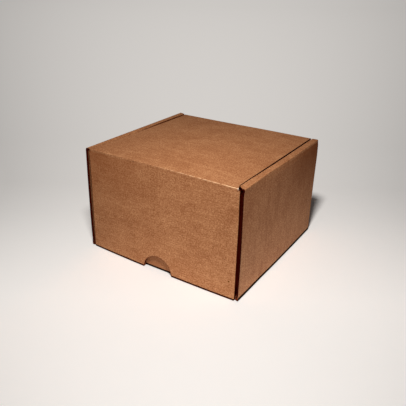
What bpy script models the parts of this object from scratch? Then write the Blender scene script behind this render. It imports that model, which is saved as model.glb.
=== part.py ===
"""Corrugated mailer box: side walls rolled over at the top, and a lid whose flap closes over the front.

The real box is one die-cut sheet. Every panel between two creases is its own object here.
Metres, +Z up. The front faces -Y, and the origin is on the floor under the middle of the base.
"""

import math

import bmesh
import bpy

# The closed box, over all
OUTER_WIDTH = 0.165
OUTER_DEPTH = 0.151
OUTER_HEIGHT = 0.1005

# The board, and how closely its layers lie
BOARD = 0.0015
FIT_GAP = 0.0003
ROLL_SLACK = 0.0006
FOLD_RADIUS = 0.0012
FOLD_STEPS = 4
SMOOTH_UNDER = math.radians(30)

# Lid
LID_SIDE_GAP = 0.0005

# Front flap, its shoulders beside the lid crease and its half-moon thumb notch
FLAP_FLOOR_GAP = 0.0006
SHOULDER_DROP = 0.0023
NOTCH_WIDTH = 0.031
NOTCH_HEIGHT = 0.0145
NOTCH_STEPS = 24

# Ears of the front flap
EAR_SWING_GAP = 0.0007
EAR_TOP_WIDTH = 0.0015
EAR_FLOOR_RISE = 0.012
EAR_CORNER_RADIUS = 0.008
EAR_STEPS = 12

# Rolled side walls
SIDE_EDGE_SETBACK = 0.0006
ROLL_BACK_SETBACK = 0.0005
INNER_END_GAP = 0.0008

# Corner flaps between the two layers of a side wall
CORNER_FLAP_LENGTH = 0.045
CORNER_FLAP_TOP_GAP = 0.0028
CORNER_FLAP_FOOT_GAP = 0.0025
CORNER_FLAP_TAPER = 0.003
CORNER_FLAP_RADIUS = 0.006

# Lock tabs of the inner side walls, and their slots in the bottom
TAB_LENGTH = 0.022
TAB_SPACING = 0.074
TAB_TAPER = 0.0008
SLOT_END_GAP = 0.0006
SLOT_SIDE_GAP = 0.0003
CUT_OVERRUN = 0.002

# Levels
HALF_DEPTH = OUTER_DEPTH / 2
WALL_FOOT = BOARD + FIT_GAP
TOP_UNDERSIDE = OUTER_HEIGHT - BOARD
WALL_TOP = TOP_UNDERSIDE - FIT_GAP

# Outer face of each layer of one side, counted from the outside in
OUTER_WALL_X = OUTER_WIDTH / 2
EAR_X = OUTER_WALL_X - BOARD - ROLL_SLACK
CORNER_FLAP_X = EAR_X - BOARD - FIT_GAP
INNER_WALL_X = CORNER_FLAP_X - BOARD - FIT_GAP
ROLL_INNER_X = INNER_WALL_X - BOARD
LID_EDGE_X = ROLL_INNER_X - LID_SIDE_GAP

# The front wall and the flap in front of it lean out together at the foot, by one board and its gap
FRONT_LEAN = math.atan2(BOARD + FIT_GAP, WALL_TOP - WALL_FOOT)
STRIP_FRONT_Y = -HALF_DEPTH + BOARD + FIT_GAP

SIDES = (("left", -1), ("right", 1))

# Kraft board in the light and inside the folds, linear colours
OUTSIDE_KRAFT = (0.36, 0.165, 0.075)
SHADED_KRAFT = (0.26, 0.115, 0.052)
INSIDE_KRAFT = (0.30, 0.145, 0.070)
KRAFT_ROUGHNESS = 0.86


def clear_scene():
    for old in list(bpy.data.objects):
        bpy.data.objects.remove(old, do_unlink=True)


def kraft(name, colour):
    """Uncoated brown paper board for one panel."""
    material = bpy.data.materials.new(name + "_kraft")
    material.use_nodes = True
    shader = material.node_tree.nodes["Principled BSDF"]
    shader.inputs["Base Color"].default_value = (*colour, 1.0)
    shader.inputs["Roughness"].default_value = KRAFT_ROUGHNESS
    shader.inputs["Metallic"].default_value = 0.0
    return material


def fold_point(name, location, lean, parent=None):
    """Empty on a crease. What is parented to it turns about that crease."""
    empty = bpy.data.objects.new(name, None)
    empty.empty_display_size = BOARD
    empty.location = location
    empty.rotation_euler = (lean, 0.0, 0.0)
    empty.parent = parent
    bpy.context.collection.objects.link(empty)
    return empty


def along_x(outline, x):
    return [(x, y, z) for y, z in outline]


def along_y(outline, y):
    return [(x, y, z) for x, z in outline]


def along_z(outline, z):
    return [(x, y, z) for x, y in outline]


def plate_mesh(name, outline, place, low, high):
    """A flat outline made a plate: place lays it across its axis, once at low and once at high."""
    shape = bmesh.new()
    rings = [[shape.verts.new(point) for point in place(outline, at)] for at in (low, high)]
    for ring in rings:
        shape.faces.new(ring)
    for index in range(len(outline)):
        shape.faces.new([rings[0][index - 1], rings[0][index], rings[1][index], rings[1][index - 1]])
    bmesh.ops.recalc_face_normals(shape, faces=shape.faces)
    mesh = bpy.data.meshes.new(name)
    shape.to_mesh(mesh)
    shape.free()
    return mesh


def panel(name, outline, place, low, high, colour, parent=None):
    """One panel of board."""
    board = bpy.data.objects.new(name, plate_mesh(name, outline, place, low, high))
    board.data.materials.append(kraft(name, colour))
    board.data.shade_smooth()
    board.data.set_sharp_from_angle(angle=SMOOTH_UNDER)
    board.parent = parent
    bpy.context.collection.objects.link(board)
    return board


def near(value, target):
    return abs(value - target) < FIT_GAP / 2


def round_edges(board, radius, ways, is_round):
    """Rounds the edges that run one of these ways (X, Y or Z) and whose ends both pass is_round."""
    mesh = board.data
    weight = mesh.attributes.new("bevel_weight_edge", "FLOAT", "EDGE")
    for edge in mesh.edges:
        start, end = (mesh.vertices[index].co for index in edge.vertices)
        way = "".join(name for name, a, b in zip("XYZ", start, end) if not near(a, b))
        weight.data[edge.index].value = float(way in ways and is_round(start) and is_round(end))
    bevel = board.modifiers.new("rounding", "BEVEL")
    bevel.limit_method = "WEIGHT"
    bevel.width = radius
    bevel.segments = FOLD_STEPS


def box_outline(low, high):
    return [(low[0], low[1]), (high[0], low[1]), (high[0], high[1]), (low[0], high[1])]


def lean_run(drop):
    """How far the leaning front stands out at this distance below its top."""
    return drop * math.tan(FRONT_LEAN)


def tab_middles():
    return (-TAB_SPACING / 2, TAB_SPACING / 2)


def bottom_panel():
    """The base of the box, folded up on all four sides, with the slots that take the lock tabs."""
    outline = box_outline((-OUTER_WALL_X, -HALF_DEPTH), (OUTER_WALL_X, HALF_DEPTH))
    board = panel("bottom_panel", outline, along_z, 0.0, BOARD, OUTSIDE_KRAFT)
    round_edges(board, FOLD_RADIUS, ["X", "Y"], lambda end: near(end.z, 0.0))
    half_slot = TAB_LENGTH / 2 + SLOT_END_GAP
    for side, sign in SIDES:
        inner = sign * (ROLL_INNER_X - SLOT_SIDE_GAP)
        outer = sign * (INNER_WALL_X + SLOT_SIDE_GAP)
        for number, middle in enumerate(tab_middles(), 1):
            name = f"{side}_slot_cutter_{number}"
            low = (min(inner, outer), middle - half_slot)
            high = (max(inner, outer), middle + half_slot)
            slot = box_outline(low, high)
            mesh = plate_mesh(name, slot, along_z, -CUT_OVERRUN, BOARD + CUT_OVERRUN)
            cutter = bpy.data.objects.new(name, mesh)
            cutter.hide_render = True
            cutter.display_type = "WIRE"
            bpy.context.collection.objects.link(cutter)
            cut = board.modifiers.new(name, "BOOLEAN")
            cut.operation = "DIFFERENCE"
            cut.solver = "EXACT"
            cut.object = cutter


def end_wall(name, facing, foot):
    """The front or the back wall. It stands on its foot crease, and faces -Y or +Y."""
    outline = box_outline((-CORNER_FLAP_X, 0.0), (CORNER_FLAP_X, WALL_TOP - WALL_FOOT))
    thickness = sorted((0.0, -facing * BOARD))
    board = panel(name, outline, along_y, *thickness, OUTSIDE_KRAFT, foot)
    round_edges(board, FOLD_RADIUS, ["Z"], lambda end: near(end.y, 0.0))


def corner_flap(name, sign, facing, foot):
    """A flap on the side edge of an end wall, turned in between the two layers of the side wall."""
    root = BOARD + FIT_GAP
    tip = root + CORNER_FLAP_LENGTH
    low = CORNER_FLAP_FOOT_GAP
    high = WALL_TOP - WALL_FOOT - CORNER_FLAP_TOP_GAP
    reach = [
        (root, low),
        (tip, low + CORNER_FLAP_TAPER),
        (tip, high - CORNER_FLAP_TAPER),
        (root, high),
    ]
    outline = [(-facing * distance, level) for distance, level in reach]
    thickness = sorted((sign * CORNER_FLAP_X, sign * (CORNER_FLAP_X - BOARD)))
    board = panel(name, outline, along_x, *thickness, SHADED_KRAFT, foot)
    round_edges(board, CORNER_FLAP_RADIUS, ["X"], lambda end: near(abs(end.y), tip))


def end_walls():
    """Front and back walls with their corner flaps. Only the front leans, drawn in under the lid."""
    for end, facing, lean in (("front", -1, -FRONT_LEAN), ("back", 1, 0.0)):
        foot = fold_point(end + "_foot_crease", (0.0, facing * HALF_DEPTH, WALL_FOOT), lean)
        end_wall(end + "_wall", facing, foot)
        for side, sign in SIDES:
            corner_flap(f"{end}_{side}_corner_flap", sign, facing, foot)


def outer_side_wall(side, sign):
    """The outer layer of a side, cut to follow the leaning front."""
    front_top = -HALF_DEPTH + SIDE_EDGE_SETBACK - lean_run(OUTER_HEIGHT - WALL_TOP)
    front_foot = -HALF_DEPTH + SIDE_EDGE_SETBACK - lean_run(OUTER_HEIGHT - WALL_FOOT)
    back = HALF_DEPTH - ROLL_BACK_SETBACK
    outline = [(front_foot, WALL_FOOT), (back, WALL_FOOT), (back, WALL_TOP), (front_top, WALL_TOP)]
    thickness = sorted((sign * OUTER_WALL_X, sign * (OUTER_WALL_X - BOARD)))
    panel(side + "_outer_side_wall", outline, along_x, *thickness, OUTSIDE_KRAFT)


def roll_strip(side, sign):
    """The narrow strip between the two creases over which the side wall is rolled inwards."""
    low_x, high_x = sorted((sign * OUTER_WALL_X, sign * ROLL_INNER_X))
    outline = box_outline((low_x, STRIP_FRONT_Y), (high_x, HALF_DEPTH - ROLL_BACK_SETBACK))
    board = panel(side + "_roll_strip", outline, along_z, TOP_UNDERSIDE, OUTER_HEIGHT, OUTSIDE_KRAFT)
    round_edges(board, FOLD_RADIUS, ["Y"], lambda end: near(end.z, OUTER_HEIGHT))


def inner_side_wall(side, sign):
    """The inner layer of a side, with the lock tabs that go down through the bottom."""
    behind_front = -HALF_DEPTH + BOARD + INNER_END_GAP
    front_top = behind_front + lean_run(WALL_TOP - WALL_FOOT)
    back = HALF_DEPTH - BOARD - INNER_END_GAP
    outline = [(behind_front, WALL_FOOT)]
    for middle in tab_middles():
        outline += [
            (middle - TAB_LENGTH / 2, WALL_FOOT),
            (middle - TAB_LENGTH / 2 + TAB_TAPER, FIT_GAP),
            (middle + TAB_LENGTH / 2 - TAB_TAPER, FIT_GAP),
            (middle + TAB_LENGTH / 2, WALL_FOOT),
        ]
    outline += [(back, WALL_FOOT), (back, WALL_TOP), (front_top, WALL_TOP)]
    thickness = sorted((sign * INNER_WALL_X, sign * ROLL_INNER_X))
    panel(side + "_inner_side_wall", outline, along_x, *thickness, INSIDE_KRAFT)


def lid_panel(crease):
    """The lid, level with the roll strips on both sides. Its origin is on the back crease."""
    outline = box_outline((-LID_EDGE_X, -OUTER_DEPTH), (LID_EDGE_X, 0.0))
    board = panel("lid_panel", outline, along_z, -BOARD, 0.0, OUTSIDE_KRAFT, crease)
    round_edges(board, FOLD_RADIUS, ["X"], lambda end: near(end.z, 0.0))


def notch_arc(floor):
    """Points of the half-moon notch, from its right foot over its head to its left foot."""
    radius = ((NOTCH_WIDTH / 2) ** 2 + NOTCH_HEIGHT**2) / (2 * NOTCH_HEIGHT)
    middle = floor + NOTCH_HEIGHT - radius
    foot_angle = math.atan2(floor - middle, NOTCH_WIDTH / 2)
    points = []
    for step in range(NOTCH_STEPS + 1):
        angle = foot_angle + (math.pi - 2 * foot_angle) * step / NOTCH_STEPS
        points.append((radius * math.cos(angle), middle + radius * math.sin(angle)))
    return points


def front_flap(crease):
    """The flap of the lid, which hangs in front of the front wall. Its origin is on the front crease."""
    head = -BOARD - FIT_GAP
    floor = FLAP_FLOOR_GAP - OUTER_HEIGHT
    outline = [
        (-LID_EDGE_X, head),
        (-LID_EDGE_X, -SHOULDER_DROP),
        (-EAR_X, -SHOULDER_DROP),
        (-EAR_X, floor),
        *reversed(notch_arc(floor)),
        (EAR_X, floor),
        (EAR_X, -SHOULDER_DROP),
        (LID_EDGE_X, -SHOULDER_DROP),
        (LID_EDGE_X, head),
    ]
    board = panel("front_flap", outline, along_y, 0.0, BOARD, OUTSIDE_KRAFT, crease)
    round_edges(board, FOLD_RADIUS, ["Z"], lambda end: near(end.y, 0.0) and near(abs(end.x), EAR_X))


def flap_ear(side, sign, crease):
    """An ear turned back from the flap's side edge into the slot of the rolled wall.

    Its inner edge is an arc about the lid's back crease, so it comes out past the strip as the lid lifts.
    """
    hinge_y = OUTER_DEPTH * math.cos(FRONT_LEAN)
    hinge_z = OUTER_DEPTH * math.sin(FRONT_LEAN)
    strip_reach = math.hypot(HALF_DEPTH - STRIP_FRONT_Y, BOARD)
    radius = strip_reach + EAR_SWING_GAP
    root = BOARD + FIT_GAP
    top = hinge_z - math.sqrt(radius**2 - (hinge_y - root - EAR_TOP_WIDTH) ** 2)
    foot = EAR_FLOOR_RISE - OUTER_HEIGHT
    outline = [(root, foot), (root, top)]
    for step in range(EAR_STEPS + 1):
        level = top + (foot - top) * step / EAR_STEPS
        outline.append((hinge_y - math.sqrt(radius**2 - (level - hinge_z) ** 2), level))
    thickness = sorted((sign * EAR_X, sign * (EAR_X - BOARD)))
    board = panel(side + "_flap_ear", outline, along_x, *thickness, SHADED_KRAFT, crease)
    tip = outline[-1][0]
    round_edges(board, EAR_CORNER_RADIUS, ["X"], lambda end: near(end.y, tip) and near(end.z, foot))


clear_scene()
bottom_panel()
end_walls()
for side_name, side_sign in SIDES:
    outer_side_wall(side_name, side_sign)
    roll_strip(side_name, side_sign)
    inner_side_wall(side_name, side_sign)
lid_crease = fold_point("lid_back_crease", (0.0, HALF_DEPTH, OUTER_HEIGHT), 0.0)
lid_panel(lid_crease)
flap_crease = fold_point("flap_crease", (0.0, -OUTER_DEPTH, 0.0), -FRONT_LEAN, lid_crease)
front_flap(flap_crease)
for side_name, side_sign in SIDES:
    flap_ear(side_name, side_sign, flap_crease)
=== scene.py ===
"""Corrugated mailer box, closed, on a pale studio floor. Metres, +Z up, the front faces -Y.

The box is one die-cut sheet, so each panel is placed here by folding the flat sheet: a place on the sheet is
two lengths, across and along the flutes, and the folds turn them into a place on the box.
"""

import math

import bpy
import numpy as np
from mathutils import Matrix, Vector
from mathutils.kdtree import KDTree


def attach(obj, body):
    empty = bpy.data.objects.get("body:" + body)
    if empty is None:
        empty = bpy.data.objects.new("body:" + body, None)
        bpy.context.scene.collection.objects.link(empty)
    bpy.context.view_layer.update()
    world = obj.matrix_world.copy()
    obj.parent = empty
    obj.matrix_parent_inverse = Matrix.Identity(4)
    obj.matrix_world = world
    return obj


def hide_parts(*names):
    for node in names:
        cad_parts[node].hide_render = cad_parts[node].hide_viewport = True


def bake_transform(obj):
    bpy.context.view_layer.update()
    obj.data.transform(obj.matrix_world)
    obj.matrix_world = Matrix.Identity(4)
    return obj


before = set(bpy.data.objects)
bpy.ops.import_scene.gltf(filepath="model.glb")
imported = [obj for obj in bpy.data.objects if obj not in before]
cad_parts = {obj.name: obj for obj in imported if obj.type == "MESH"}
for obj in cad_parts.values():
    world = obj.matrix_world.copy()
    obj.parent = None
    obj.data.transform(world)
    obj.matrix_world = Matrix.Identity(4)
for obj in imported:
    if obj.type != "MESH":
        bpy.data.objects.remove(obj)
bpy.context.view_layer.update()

# Camera.
# It stands to the right of the front and looks down on the box, as the photograph does.
CAMERA_PLACE = (0.2380, -0.3800, 0.2509)
CAMERA_AZIMUTH = math.radians(32.314)
CAMERA_ELEVATION = math.radians(25.390)
CAMERA_ROLL = math.radians(1.137)
CAMERA_LENS = 43.80
SENSOR_WIDTH = 36.0
CLIP_RANGE = (0.01, 50.0)


def aim_camera():
    sight = bpy.data.cameras.new("camera")
    sight.lens = CAMERA_LENS
    sight.sensor_width = SENSOR_WIDTH
    sight.clip_start, sight.clip_end = CLIP_RANGE
    camera = bpy.data.objects.new("camera", sight)
    bpy.context.scene.collection.objects.link(camera)
    flat = math.cos(CAMERA_ELEVATION)
    back = Vector(
        (math.sin(CAMERA_AZIMUTH) * flat, -math.cos(CAMERA_AZIMUTH) * flat, math.sin(CAMERA_ELEVATION))
    )
    right = (-back).cross(Vector((0.0, 0.0, 1.0))).normalized()
    up = back.cross(right)
    turn, lean = math.cos(CAMERA_ROLL), math.sin(CAMERA_ROLL)
    axes = (right * turn + up * lean, up * turn - right * lean, back)
    rows = [(*(axis[row] for axis in axes), CAMERA_PLACE[row]) for row in range(3)]
    camera.matrix_world = Matrix([*rows, (0, 0, 0, 1)])
    bpy.context.scene.camera = camera


aim_camera()

# Studio floor and light.
# A pale floor of paper runs back from the box, its falloff of light painted on. A small lamp with a grid
# stands close by, right of the front, so light falls off across the lid. The lit paper round the foot sends a
# good part of it up to the walls.
FLOOR_HALF = 6.0
LAMP_PLACE = (0.15, -0.265, 0.48)
LAMP_AIM = (0.0, 0.0, 0.03)
LAMP_RAY = Vector(LAMP_AIM) - Vector(LAMP_PLACE)
LAMP_SIZE = 0.07
LAMP_WATTS = 0.46
LAMP_COLOUR = (1.0, 0.955, 0.91)
# The grid lets light through up to the angle with this tangent.
GRID_TANGENT = 0.8
GRID_LOSS = GRID_TANGENT - math.atan(GRID_TANGENT)
LEAST_FACING = 0.05
WORLD_LIGHT = 0.03
SKY_TINT = (1.0, 0.97, 0.94, 1)
PAPER_TINT = (1.0, 0.955, 0.91, 1)
PAPER_WHITE = (0.80, 0.80, 0.80, 1)
GRAIN_TONES = (0.99, 0.99, 0.99, 1), (1.01, 1.01, 1.01, 1)
GRAIN_SCALE = 60.0
PAPER_STOPS = (
    # metres from the camera's foot, brightness in the middle
    (0.20, 0.92),
    (0.34, 0.92),
    (0.38, 0.88),
    (0.44, 0.82),
    (0.50, 0.75),
    (0.58, 0.68),
    (0.75, 0.65),
    (1.00, 0.65),
    (4.00, 0.60),
)
NEAREST_PAPER = 0.15
SIDE_FALL = 0.5
SIDE_FALL_GROWS = (0.30, 0.60)
DIMMEST_SIDE = 0.72
BRIGHTEST_PAPER = 2.2
# Left of the box the lamp has only this part in what the camera sees, so the box's shadow is pale there.
LEFT_OF_BOX = (-0.05, -0.09)
LEFT_SHADE = 0.40
GLOWS = (
    # place, reach and strength: one in front of the box on the lamp's side, and one behind it on the left
    ((0.07, -0.10, 0.0), 0.17, 1.22),
    ((-0.13, 0.15, 0.0), 0.09, 1.1),
)
GLOW_FALL = -1.5


def node(tree, kind, **settings):
    made = tree.nodes.new(kind)
    for name, value in settings.items():
        setattr(made, name, value)
    return made


def feed(tree, socket, value):
    """Sets an input, or links it where the value is another node's output."""
    if isinstance(value, bpy.types.NodeSocket):
        tree.links.new(value, socket)
    else:
        socket.default_value = value


def maths(tree, operation, *values):
    made = node(tree, "ShaderNodeMath", operation=operation)
    for socket, value in zip(made.inputs, values):
        feed(tree, socket, value)
    return made.outputs[0]


def times(tree, first, second):
    return maths(tree, "MULTIPLY", first, second)


def plus(tree, first, second):
    return maths(tree, "ADD", first, second)


def minus(tree, first, second):
    return maths(tree, "SUBTRACT", first, second)


def vector_maths(tree, operation, *vectors):
    made = node(tree, "ShaderNodeVectorMath", operation=operation)
    for socket, vector in zip(made.inputs, vectors):
        feed(tree, socket, vector)
    return made.outputs["Vector" if operation == "SUBTRACT" else "Value"]


def scaled(tree, vector, size):
    made = node(tree, "ShaderNodeVectorMath", operation="SCALE")
    feed(tree, made.inputs[0], vector)
    feed(tree, made.inputs["Scale"], size)
    return made.outputs["Vector"]


def blended(tree, share, first, second):
    """Colour between two colours."""
    made = node(tree, "ShaderNodeMix", data_type="RGBA")
    for name, value in (("Factor", share), ("A", first), ("B", second)):
        feed(tree, made.inputs[name], value)
    return made.outputs["Result"]


def ramp(tree, value, low, high, smooth=True):
    """0 at low, 1 at high, held beyond."""
    made = node(tree, "ShaderNodeMapRange", interpolation_type="SMOOTHSTEP" if smooth else "LINEAR")
    for name, given in (("Value", value), ("From Min", low), ("From Max", high)):
        feed(tree, made.inputs[name], given)
    return made.outputs["Result"]


def noise(tree, place, scale=1.0, detail=2.0, rough=0.5):
    made = node(tree, "ShaderNodeTexNoise")
    for name, value in (("Vector", place), ("Scale", scale), ("Detail", detail), ("Roughness", rough)):
        feed(tree, made.inputs[name], value)
    return made.outputs["Fac"]


def rest_place(tree):
    """Each point's place at rest."""
    return node(tree, "ShaderNodeTexCoord").outputs["Object"]


def parts(tree, vector):
    """X, Y and Z of a vector, by these names."""
    apart = node(tree, "ShaderNodeSeparateXYZ")
    feed(tree, apart.inputs[0], vector)
    return apart.outputs


def new_material(name):
    material = bpy.data.materials.new(name)
    material.use_nodes = True
    tree = material.node_tree
    return material, tree, tree.nodes["Principled BSDF"]


def paper_light(tree, place):
    """How bright the camera sees the paper, by the place on the floor: dimmer far off and to the sides."""
    flat = math.cos(CAMERA_AZIMUTH), math.sin(CAMERA_AZIMUTH)
    off = vector_maths(tree, "SUBTRACT", place, (CAMERA_PLACE[0], CAMERA_PLACE[1], 0.0))
    away = vector_maths(tree, "DOT_PRODUCT", off, (-flat[1], flat[0], 0.0))
    aside = vector_maths(tree, "DOT_PRODUCT", off, (flat[0], flat[1], 0.0))
    depth = maths(tree, "MAXIMUM", away, NEAREST_PAPER)
    level = PAPER_STOPS[0][1]
    for (near, dark), (far, pale) in zip(PAPER_STOPS, PAPER_STOPS[1:]):
        level = plus(tree, level, times(tree, ramp(tree, depth, near, far, False), pale - dark))
    slant = maths(tree, "POWER", maths(tree, "DIVIDE", maths(tree, "ABSOLUTE", aside), depth), 2.0)
    fall = plus(tree, ramp(tree, depth, *SIDE_FALL_GROWS), SIDE_FALL)
    dim = minus(tree, 1.0, times(tree, slant, fall))
    return times(tree, level, maths(tree, "MAXIMUM", dim, DIMMEST_SIDE))


def glow_light(tree, place):
    """What the paper sends up in front of the box and behind it, by the place on the floor."""
    level = 0.0
    for middle, reach, strength in GLOWS:
        far = maths(tree, "DIVIDE", vector_maths(tree, "DISTANCE", place, middle), reach)
        fall = maths(tree, "POWER", plus(tree, maths(tree, "POWER", far, 2.0), 1.0), GLOW_FALL)
        level = maths(tree, "MULTIPLY_ADD", fall, strength, level)
    return level


def lamp_light(tree, place):
    """How bright the lamp would make plain white paper, by the place on the floor."""
    ray = vector_maths(tree, "SUBTRACT", place, LAMP_PLACE)
    length = vector_maths(tree, "LENGTH", ray)
    along = vector_maths(tree, "DOT_PRODUCT", ray, LAMP_RAY.normalized())
    facing = maths(tree, "MAXIMUM", maths(tree, "DIVIDE", along, length), LEAST_FACING)
    tangent = maths(tree, "TANGENT", maths(tree, "ARCCOSINE", facing))
    through = maths(tree, "MAXIMUM", minus(tree, GRID_TANGENT, tangent), 0.0)
    beam = times(tree, times(tree, through, facing), 1 / GRID_LOSS)
    strength = LAMP_WATTS / math.pi**2 * LAMP_PLACE[2]
    return maths(tree, "DIVIDE", times(tree, beam, strength), maths(tree, "POWER", length, 3.0))


def studio_floor():
    mesh = bpy.data.meshes.new("studio_floor")
    h = FLOOR_HALF
    mesh.from_pydata([(-h, -h, 0), (h, -h, 0), (h, h, 0), (-h, h, 0)], [], [(0, 1, 2, 3)])
    floor = bpy.data.objects.new("studio_floor", mesh)
    bpy.context.scene.collection.objects.link(floor)
    material, tree, shader = new_material("studio_paper")
    place = rest_place(tree)
    path = node(tree, "ShaderNodeLightPath").outputs
    # The camera sees the paper with a painted falloff of light: as much of it as can be is the lamp's
    # light, which the box can shade, and a faint glow makes up the rest. The box gets the light of plain
    # white paper, and a glow that stands for what the very bright paper round its foot throws up.
    wanted = paper_light(tree, place)
    lit = plus(tree, lamp_light(tree, place), WORLD_LIGHT)
    left = ramp(tree, parts(tree, place)["X"], *LEFT_OF_BOX)
    shaded = maths(tree, "MULTIPLY_ADD", left, LEFT_SHADE - 1.0, 1.0)
    share = times(tree, maths(tree, "DIVIDE", wanted, lit), shaded)
    share = maths(tree, "MINIMUM", share, BRIGHTEST_PAPER)
    rest = maths(tree, "MAXIMUM", minus(tree, wanted, times(tree, share, lit)), 0.0)
    grain = blended(tree, noise(tree, place, GRAIN_SCALE), *GRAIN_TONES)
    paper = node(tree, "ShaderNodeBsdfDiffuse")
    seen = blended(tree, path["Is Camera Ray"], PAPER_WHITE, scaled(tree, grain, share))
    feed(tree, paper.inputs["Color"], seen)
    glow = times(tree, glow_light(tree, place), path["Is Diffuse Ray"])
    light = node(tree, "ShaderNodeEmission")
    light.inputs["Color"].default_value = PAPER_TINT
    feed(tree, light.inputs["Strength"], plus(tree, times(tree, rest, path["Is Camera Ray"]), glow))
    both = node(tree, "ShaderNodeAddShader")
    tree.links.new(paper.outputs[0], both.inputs[0])
    tree.links.new(light.outputs[0], both.inputs[1])
    tree.nodes.remove(shader)
    tree.links.new(both.outputs[0], tree.nodes["Material Output"].inputs["Surface"])
    mesh.materials.append(material)


def studio_light():
    lamp = bpy.data.lights.new("lamp", "AREA")
    lamp.shape = "DISK"
    lamp.size = LAMP_SIZE
    lamp.energy = LAMP_WATTS
    lamp.color = LAMP_COLOUR
    lamp.spread = 2 * math.atan(GRID_TANGENT)
    holder = bpy.data.objects.new("lamp", lamp)
    holder.location = LAMP_PLACE
    holder.rotation_euler = LAMP_RAY.to_track_quat("-Z", "Y").to_euler()
    bpy.context.scene.collection.objects.link(holder)
    world = bpy.data.worlds.new("studio")
    world.use_nodes = True
    bpy.context.scene.world = world
    tree = world.node_tree
    sky = tree.nodes["Background"].inputs
    path = node(tree, "ShaderNodeLightPath").outputs
    seen = maths(tree, "MAXIMUM", path["Is Camera Ray"], path["Is Glossy Ray"])
    seen = maths(tree, "MAXIMUM", seen, path["Is Transmission Ray"])
    feed(tree, sky["Color"], blended(tree, seen, SKY_TINT, PAPER_TINT))
    more = PAPER_STOPS[-1][1] - WORLD_LIGHT
    feed(tree, sky["Strength"], maths(tree, "MULTIPLY_ADD", seen, more, WORLD_LIGHT))
    bpy.context.scene.view_settings.view_transform = "Standard"


studio_floor()
studio_light()

# Bottom.
# The square the whole box stands on: brown kraft E-flute board, cut by laser, so its edges are burnt dark.
# Both long sides have two slots for the lock tabs. All four walls are folded up from it.
OUTER_WIDTH = 0.165
OUTER_DEPTH = 0.151
OUTER_HEIGHT = 0.1005
HALF_WIDTH = OUTER_WIDTH / 2
HALF_DEPTH = OUTER_DEPTH / 2
BOARD = 0.0015
LINER = 0.00022
FLUTING = 0.00018
FLUTE_PITCH = 0.0032
STEPS_A_FLUTE = 8
FIT_GAP = 0.0003
FOLD_RADIUS = 0.0008
FOLD_REACH = 0.0018
FOLD_CRUSH = 0.48
FOLD_STEPS = 10
SMOOTH_UNDER = math.radians(32)
WELD_DISTANCE = 1e-6
WALL_FOOT = BOARD + FIT_GAP
WALL_TOP = OUTER_HEIGHT - BOARD - FIT_GAP
END_WALL_HALF = 0.0786
ROLL_INNER_X = 0.0753
SLOT_OUTER_X = 0.0771
SLOT_INNER_X = 0.0750
SLOT_HALF = 0.0116
TAB_MIDDLE = 0.037
CORNER_SETBACK = 0.0003
SIDES = (("left", -1), ("right", 1))
# Distances of the extra rows of points beside a cut edge, and the greatest distance from one that counts.
CUT_LINES = (0.0004, 0.001)
CUT_FAR = 0.003
# How handling has moved the board, by the share of the way from back to front or by the height.
SPREAD_SHARES = (0.0, 0.04, 0.5, 0.78, 0.86, 0.96, 1.0)
LEFT_LAYER_SPREAD = (0.0012, 0.0018, 0.0021, 0.0019, 0.0022, 0.0025, 0.0025)
RIGHT_LAYER_SPREAD = (0.0012, 0.0012, 0.0010, 0.0002, -0.0001, -0.0003, 0.0004)
EDGE_LEVELS = (0.0, 0.010, 0.020, 0.036, 0.055, 0.075, 0.085, 0.095, 0.1005)
EDGE_FRONT = (0.7, 1.0)
LEFT_EDGE_OUT = (-0.0003, 0.0004, 0.0008, 0.0010, 0.0011, 0.0011, 0.0010, 0.0009, 0.0009)
RIGHT_EDGE_OUT = (0.0009, 0.0001, 0.0002, 0.0003, 0.0001, -0.0003, -0.0004, -0.0006, -0.0002)
RIGHT_WALL_OUT = (0.0014, 0.0013, 0.0013, 0.0013, 0.0013, 0.0015, 0.0016, 0.0013, 0.0004)
WALL_SHARES = (0.0, 0.2, 0.4, 0.6, 0.8, 1.0)
WALL_PROFILE = (0.8, 0.95, 1.0, 0.95, 0.55, 0.0)
CORNER_TUCK = 0.0010
TUCK_Y = (-0.0705, -0.0735)
TUCK_X = (0.070, 0.076)
LEFT_FOOT_OUT = 0.0008
RIGHT_FOOT_OUT = 0.0022
FOOT_FRONT = (0.93, 1.0)
FOOT_X_FROM = 0.076
FOOT_Z = (0.001, 0.008)
FRONT_WALL_BOW = 0.0008
BOW_FRONT = (0.90, 0.98)
STRIP_DIP = 0.0016
STRIP_DIP_FRONT = (0.30, 0.70)
STRIP_DIP_WIDTH = 0.010
STRIP_FOLD_WIDTH = 0.003
LEFT_STRIP_SHARES = (0.0, 0.3, 1.0)
LEFT_STRIP_LIFT = (0.0005, 0.0003, 0.0)
RIGHT_STRIP_LIFT = 0.0010
# Middle and half length of the right strip's hump.
STRIP_HUMP = (0.72, 0.17)
STRIP_LIFT_FROM = ROLL_INNER_X + 0.002


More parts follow.
